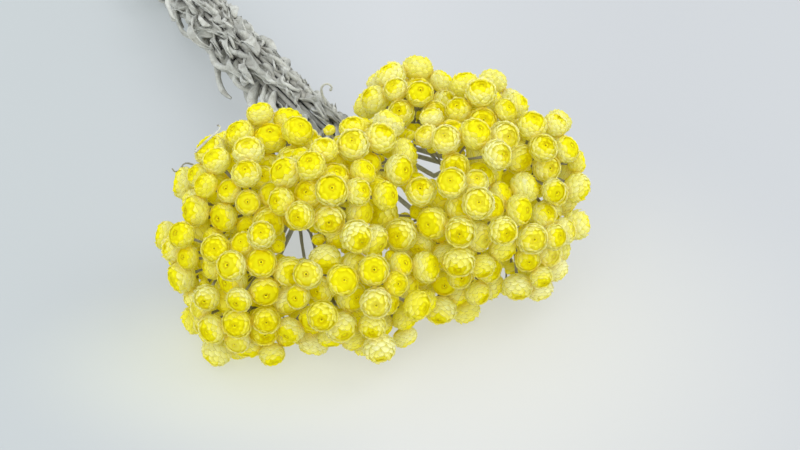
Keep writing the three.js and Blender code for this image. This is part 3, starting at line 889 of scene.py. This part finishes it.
def head_form(seed, flare, eye, top_tip, counts=SCALES):
    """A whole head: a body with a sunken eye, under rings of scales that flare out more or less"""
    draw = seeded(seed)
    bm = bmesh.new()
    age = bm.verts.layers.float.new("age")
    tone = bm.verts.layers.float.new("tone")
    bm.loops.layers.uv.new("paper")
    bmesh.ops.create_uvsphere(bm, u_segments=BODY_SIDES, v_segments=BODY_RINGS, radius=1)
    for v in bm.verts:
        polar = math.acos(max(-1, min(1, v.co.z)))
        ring = round(math.degrees(polar) / (180 / BODY_RINGS))
        body = BODY_TOP if v.co.z > 0 else BODY_FOOT
        v.co = (v.co.x * BODY_WIDE, v.co.y * BODY_WIDE, v.co.z * body)
        if ring == 1:
            flat = v.co.xy.normalized() * EYE_WIDE
            v.co = (flat.x, flat.y, BODY_TOP * EYE_RIM)
        elif ring == 0:
            v.co.z = BODY_TOP * EYE_FLOOR
        v[age], v[tone] = (EYE_AGE if ring == 0 else MIDDLE_AGE), eye
    rows = [row for row, count in zip(("outer", "middle", "inner"), counts) for _ in range(count)]
    spread = math.sqrt(SCALES[0] / counts[0])
    for i, row in enumerate(rows):
        share = i / counts[0]
        turn = i * GOLDEN_ANGLE + (draw() - 0.5) * 0.15
        flares = flare * (between(OUTER_FLARES, share) if row == "outer" else TOP_FLARE)
        scale = paper_scale(draw, row, share, flares, turn, top_tip, spread)
        ages = {"outer": share * OUTER_AGE, "middle": MIDDLE_AGE, "inner": INNER_AGE}
        shade = draw()
        for v in gather(bm, scale, Matrix()):
            v[age], v[tone] = ages[row], eye if row == "inner" else shade
    mesh = bpy.data.meshes.new("head_form")
    bm.to_mesh(mesh)
    bm.free()
    return mesh


# The paper: lemon yellow to near white on the sides, clear yellow on top, with a thin rim of brown edge and
# painted shadow line.
LEMON, PALE_LEMON, NEAR_WHITE = (0.895, 0.848, 0.045), (0.89, 0.894, 0.345), (0.93, 0.92, 0.55)
TOP_YELLOW = (0.9, 0.834, 0.004)
# Beside the paper's own colours: a brown for the rim and its painted shadow line, and colours of painted
# shade for the dimple and between the heads.
RIM_BROWN_AND_SHADOW, DIMPLE_SHADE_BROWN, AMBER_SHADE_BETWEEN_HEADS = (0.3, 0.21, 0.045), (0.62, 0.42, 0.2), (1.0, 0.83, 0.45)
EYE_GOLD, EYE_BROWN = (0.50, 0.36, 0.012), (0.06, 0.028, 0.006)

paper = Finish("yellow_paper")
value, step, mix = paper.value, paper.step, paper.mix
uv_map = paper.nodes.new("ShaderNodeUVMap")
uv_map.uv_map = "paper"
on_scale = paper.nodes.new("ShaderNodeSeparateXYZ")
paper.links.new(uv_map.outputs["UV"], on_scale.inputs["Vector"])
tip_ward = on_scale.outputs["Y"]
edge_ward = value("ABSOLUTE", value("SUBTRACT", value("MULTIPLY", on_scale.outputs["X"], 2.0), 1.0))
age, tone, whiteness = [paper.attribute(name) for name in ("age", "tone", "pale")]

pale = value("ADD", whiteness, value("MULTIPLY", value("SUBTRACT", tone, 0.5), 0.5))
pale = value("MULTIPLY", step(tip_ward, 0.1, 0.75), pale)
pale = value("MAXIMUM", value("MINIMUM", pale, 1.0), 0.0)
white = step(whiteness, 1.05, 1.6)
sides = mix("MIX", white, mix("MIX", pale, LEMON, PALE_LEMON), NEAR_WHITE)
on_top = value("SUBTRACT", 1.0, value("MULTIPLY", white, 0.6))
on_top = value("MULTIPLY", step(age, 0.45, 0.92), on_top)
colour = mix("MIX", on_top, sides, TOP_YELLOW)
streaks = paper.grain(paper.place("UV", Scale=(9, 1.2, 1)), 5, 3)
colour = mix("SOFT_LIGHT", 0.2, colour, streaks)

is_inner = step(age, 0.93, 0.98)
# Painted shadow line: each scale darkens at its edges and tip, where it lies over the next scale; this is
# partly its own brown edge. It breaks up along the streaks, is weaker on top and is left off the inner
# scales.
rim_and_shadow_line = step(value("MAXIMUM", edge_ward, tip_ward), 0.88, 0.99)
rim_and_shadow_line = value("MULTIPLY", rim_and_shadow_line, step(streaks, 0.38, 0.58))
rim_and_shadow_line = value("MULTIPLY", rim_and_shadow_line, value("SUBTRACT", 1.0, is_inner))
rim_and_shadow_strength = value("SUBTRACT", 0.8, value("MULTIPLY", step(age, 0.7, 0.95), 0.45))
colour = mix("MULTIPLY", value("MULTIPLY", rim_and_shadow_line, rim_and_shadow_strength), colour, RIM_BROWN_AND_SHADOW)
# Painted shade: the paper turns a darker amber where a head lies close to its neighbours.
colour = mix("MULTIPLY", paper.attribute("shade_between_heads"), colour, AMBER_SHADE_BETWEEN_HEADS)
# Painted shade: the inner scales darken towards the eye, in the shallow dimple round it, more on heads
# whose eye is browner.
dimple_shade = value("MULTIPLY", step(tip_ward, 0.72, 1.0), is_inner)
dimple_shade = value("MULTIPLY", dimple_shade, value("ADD", value("MULTIPLY", tone, 0.5), 0.3))
colour = mix("MULTIPLY", dimple_shade, colour, DIMPLE_SHADE_BROWN)
colour = mix("MIX", step(age, 1.3, 1.5), colour, mix("MIX", tone, EYE_GOLD, EYE_BROWN))
paper.surface({
    "Base Color": colour,
    "Normal": paper.bump(streaks, 0.00012, 0.5),
    "Roughness": 0.75,
    "Specular IOR Level": 0.05,
    # Painted light: the paper glows a little yellow, standing in for light that shines through the thin
    # scales into the shade between them.
    "Emission Color": (1.0, 0.86, 0.0),
    "Emission Strength": 0.08,
    "Subsurface Weight": 0.5,
    "Subsurface Radius": (0.0025, 0.0020, 0.0004),
    "Subsurface Scale": 1.0,
})

# The forms of heads: how far the scales flare, how brown the eye is, and the angle where the sides end.
CLOSED_HEADS = ((0.04, 1.0, 42), (0.04, 0.1, 36), (0.04, 0.8, 40), (0.04, 0.9, 34))
OPEN_HEADS = ((0.07, 0.5, 22), (0.10, 0.2, 26), (0.14, 0.7, 20), (0.2, 0.4, 24))
YOUNG_HEADS = ((0.03, 0.2, 34, YOUNG_SCALES),) * 2
closed_forms = [head_form(11 + i, *head) for i, head in enumerate(CLOSED_HEADS)]
open_forms = [head_form(21 + i, *head) for i, head in enumerate(OPEN_HEADS)]
young_forms = [head_form(51 + i, *head) for i, head in enumerate(YOUNG_HEADS)]

# The share of open heads in each dome, and how pale its heads are; a few heads are nearly white.
DOME_HEADS = {LEFT: (0.45, (0.0, 1.25)), RIGHT: (0.8, (0.4, 1.3))}
BLEACHED_SHARE, BLEACHED = 0.04, 0.6
YOUNG_PALE = 0.5
HEAD_SIZE = 1.08
HEAD_WIDE, HEAD_TALL = (0.95, 1.0), (0.92, 1.05)
WHOLE_TURN = 6.3
SHADE_BETWEEN_HEADS_DEPTH, SHADE_BETWEEN_HEADS_REACH = 1.8, 3
SELF_DISTANCE = 0.1
draw = seeded(SEED + 50)


def add_head(bm, form, at, root, radius, whiteness):
    """A head of the given form at the end of its stalk, turned and stretched a little its own way"""
    facing = Vector(unit(at - root)).to_track_quat("Z", "Y").to_matrix().to_4x4()
    size = radius * MM
    wide, tall = between(HEAD_WIDE, draw()), between(HEAD_TALL, draw())
    stretch = Matrix.Diagonal((size * wide, size, size * tall, 1))
    turn = Matrix.Rotation(draw() * WHOLE_TURN, 4, "Z")
    matrix = Matrix.Translation(placed([at])[0]) @ facing @ turn @ stretch
    pale, shade_between_heads = bm.verts.layers.float["pale"], bm.verts.layers.float["shade_between_heads"]
    fresh = gather(bm, form, matrix)
    # Painted shade: each point of the head is marked by how close it lies to the neighbouring heads.
    far = np.linalg.norm(globes - at, axis=1)
    near = np.flatnonzero((far > SELF_DISTANCE) & (far < radius + globe_radius + SHADE_BETWEEN_HEADS_REACH))
    points = np.array([v.co[:] for v in fresh]) / MM - BOX_SHIFT
    gaps = np.linalg.norm(points[:, None] - globes[near], axis=2) - globe_radius[near]
    depths = (np.clip(1 - gaps / SHADE_BETWEEN_HEADS_DEPTH, 0, 1) ** 2).sum(1)
    for v, depth in zip(fresh, depths):
        v[pale], v[shade_between_heads] = whiteness, min(1, depth)


for k, (_, _, _, dome) in enumerate(CLUSTERS):
    open_share, pale_range = DOME_HEADS[dome]
    bm = bmesh.new()
    for name in ("age", "tone", "pale", "shade_between_heads"):
        bm.verts.layers.float.new(name)
    bm.loops.layers.uv.new("paper")
    for i in np.flatnonzero(of_cluster == k):
        forms = open_forms if draw() < open_share else closed_forms
        form = forms[int(draw() * len(forms))]
        whiteness = between(pale_range, draw()) + (BLEACHED if draw() < BLEACHED_SHARE else 0)
        add_head(bm, form, globes[i], roots[i], globe_radius[i] * HEAD_SIZE, whiteness)
    for at, root, radius in young[k]:
        form = young_forms[int(draw() * len(young_forms))]
        add_head(bm, form, at, root, radius, draw() * YOUNG_PALE)
    finished(f"flower_heads_{k + 1:02d}", bm, paper, [f"flowers_{k + 1:02d}"])
for form in closed_forms + open_forms + young_forms:
    bpy.data.meshes.remove(form)

# The tie. Soft two-ply twine goes four times round the stems near their cut ends, pulled tight.
TIE_AT = 24.0 / BUNDLE_LENGTH
TIE_TURNS = 4
TIE_STEPS = 200
TIE_CORD_RADIUS = 0.7
TIE_GAP = 0.3
TIE_RING_SIDES = 10
TIE_SEAT = 0.85
PLIES = 2
PLY_RADIUS, PLY_OFFSET = 0.5, 0.45
PLY_TURNS = 6
PLY_SIDES = 6
TWINE_TONES = ((0.3, (0.24, 0.16, 0.08)), (0.55, (0.45, 0.33, 0.19)), (0.75, (0.6, 0.48, 0.31)))

twine = Finish("jute_twine")
strands = twine.grain(twine.place(), 1500, 4)
twine.surface({
    "Base Color": twine.ramp(strands, TWINE_TONES),
    "Normal": twine.bump(strands, 0.0002, 0.7),
    "Roughness": 0.9,
})

tie_axis = unit(bundle_middle(TIE_AT + NEARBY) - bundle_middle(TIE_AT - NEARBY))
tie_u, tie_v = across(tie_axis)
tie_radius = (bundle_radius + TIE_GAP) / math.cos(math.pi / TIE_RING_SIDES) + TIE_CORD_RADIUS * TIE_SEAT
bm = bmesh.new()
for ply in range(PLIES):
    points = []
    for i in range(TIE_STEPS + 1):
        turn = 2 * math.pi * TIE_TURNS * i / TIE_STEPS
        out = tie_u * math.cos(turn) + tie_v * math.sin(turn)
        run = (i / TIE_STEPS - 0.5) * (TIE_TURNS * 2 - 1) * TIE_CORD_RADIUS
        lay = turn * PLY_TURNS + ply * math.pi
        middle = bundle_middle(TIE_AT) + out * tie_radius + tie_axis * run
        beside = out * math.cos(lay) + tie_axis * math.sin(lay)
        points.append(middle + beside * TIE_CORD_RADIUS * PLY_OFFSET)
    strand = bmesh.new()
    sweep(strand, placed(points), [TIE_CORD_RADIUS * PLY_RADIUS * MM] * len(points), PLY_SIDES)
    gather(bm, strand, Matrix())
finished("twine_tie", bm, twine, ["tie"])

# The table top. The bunch lies on a plain, pale, bluish sheet, lit mostly by its own painted glow, a little
# brighter to the right. Painted yellow light from the flowers lies on it in front of them and on their
# left.
SHEET_HALF = 3
SHEET_GREY = (0.225, 0.23, 0.235)
RIGHTWARD, RIGHTWARD_RUN = (0.53, 0.848, 0), (-0.06, 0.14)
RIGHTWARD_GLOW = ((0.0, (0.275, 0.31, 0.31)), (0.6, (0.355, 0.37, 0.38)), (1.0, (0.31, 0.325, 0.335)))
FRONT_GLOW_AT, FRONT_GLOW_REACH, FRONT_GLOW = (0.1217, 0.0135, 0), 0.11, (0.155, 0.14, 0.085)
LEFT_GLOW_AT, LEFT_GLOW_TURN, LEFT_GLOW = (0.0939, -0.0457, 0), math.radians(58), (0.145, 0.14, 0.055)
LEFT_GLOW_REACH = (0.06, 0.04, 1)
NO_GLOW = (0.0, 0.0, 0.0)

sheet = Finish("pale_sheet")
rightward = sheet.value("DOT_PRODUCT", sheet.place(), RIGHTWARD, kind="ShaderNodeVectorMath")
from_front = sheet.value("DISTANCE", sheet.place(), FRONT_GLOW_AT, kind="ShaderNodeVectorMath")
by_left = sheet.place(
    kind="TEXTURE", Location=LEFT_GLOW_AT, Rotation=(0, 0, LEFT_GLOW_TURN), Scale=LEFT_GLOW_REACH
)
from_left = sheet.value("LENGTH", by_left, kind="ShaderNodeVectorMath")
# Painted light: the sheet's glow, brighter to the right, with painted yellow light from the flowers added
# in front of them and on their left.
glow = sheet.ramp(sheet.step(rightward, *RIGHTWARD_RUN), RIGHTWARD_GLOW)
for distance, glow_reach, tone in ((from_front, FRONT_GLOW_REACH, FRONT_GLOW), (from_left, 1.0, LEFT_GLOW)):
    fading = sheet.ramp(sheet.step(distance, 0.0, glow_reach), ((0.0, tone), (1.0, NO_GLOW)))
    glow = sheet.mix("ADD", 1.0, glow, fading)
sheet.surface({
    "Base Color": SHEET_GREY,
    "Roughness": 0.7,
    "Specular IOR Level": 0.1,
    "Emission Color": glow,
    "Emission Strength": 1.0,
})

bm = bmesh.new()
bmesh.ops.create_grid(bm, x_segments=1, y_segments=1, size=SHEET_HALF)
mesh = bpy.data.meshes.new("table_top")
bm.to_mesh(mesh)
bm.free()
mesh.materials.append(sheet.material)
floor = bpy.data.objects.new("table_top", mesh)
bpy.context.scene.collection.objects.link(floor)

# The light. A soft box hangs above on the right, and a wider, stronger one above the front. A pale
# room lights the shadows.
TARGET = Vector((96.06, 4.80, 22.99)) * MM
AZIMUTH, ELEVATION = math.radians(58), math.radians(38)
KEY_SIZE, KEY_POWER, KEY_COLOUR = 0.6, 3.15, (1.0, 0.985, 0.96)
FRONT_SIZE, FRONT_POWER, FRONT_COLOUR = 0.9, 4.85, (1.0, 1.0, 1.0)
ROOM_COLOUR, ROOM_STRENGTH = (0.9, 0.94, 1.0, 1), 1.25
right = Vector((math.cos(AZIMUTH), math.sin(AZIMUTH), 0))
ahead = Vector((-math.sin(AZIMUTH), math.cos(AZIMUTH), 0))
up = Vector((0, 0, 1))


def soft_box(name, place, size, power, colour):
    """A square lamp that faces the flowers"""
    light = bpy.data.lights.new(name, "AREA")
    light.size = size
    light.energy = power
    light.color = colour
    lamp = bpy.data.objects.new(name, light)
    lamp.location = place
    lamp.rotation_euler = (TARGET - place).to_track_quat("-Z", "Y").to_euler()
    bpy.context.scene.collection.objects.link(lamp)


key_place = TARGET + right * 0.6 + ahead * 0.05 + up * 0.85
front_place = TARGET - ahead * 0.8 - right * 0.15 + up * 0.9
soft_box("key_box", key_place, KEY_SIZE, KEY_POWER, KEY_COLOUR)
soft_box("front_box", front_place, FRONT_SIZE, FRONT_POWER, FRONT_COLOUR)
world = bpy.data.worlds.new("pale_room")
world.use_nodes = True
world.node_tree.nodes["Background"].inputs["Color"].default_value = ROOM_COLOUR
world.node_tree.nodes["Background"].inputs["Strength"].default_value = ROOM_STRENGTH
bpy.context.scene.world = world
bpy.context.scene.view_settings.view_transform = "Standard"

# The camera. It looks down on the flower heads from their front, with a long lens, so that the bundle
# runs out of the picture at the top left.
DISTANCE = 0.48
LENS_LENGTH = 87.4
FILM_WIDTH = 36
lens = bpy.data.cameras.new("camera")
lens.lens = LENS_LENGTH
lens.sensor_width = FILM_WIDTH
lens.clip_start = 0.01
camera = bpy.data.objects.new("camera", lens)
level = math.cos(ELEVATION)
back = Vector((math.sin(AZIMUTH) * level, -math.cos(AZIMUTH) * level, math.sin(ELEVATION)))
camera.location = TARGET + back * DISTANCE
camera.rotation_euler = back.to_track_quat("Z", "Y").to_euler()
bpy.context.scene.collection.objects.link(camera)
bpy.context.scene.camera = camera
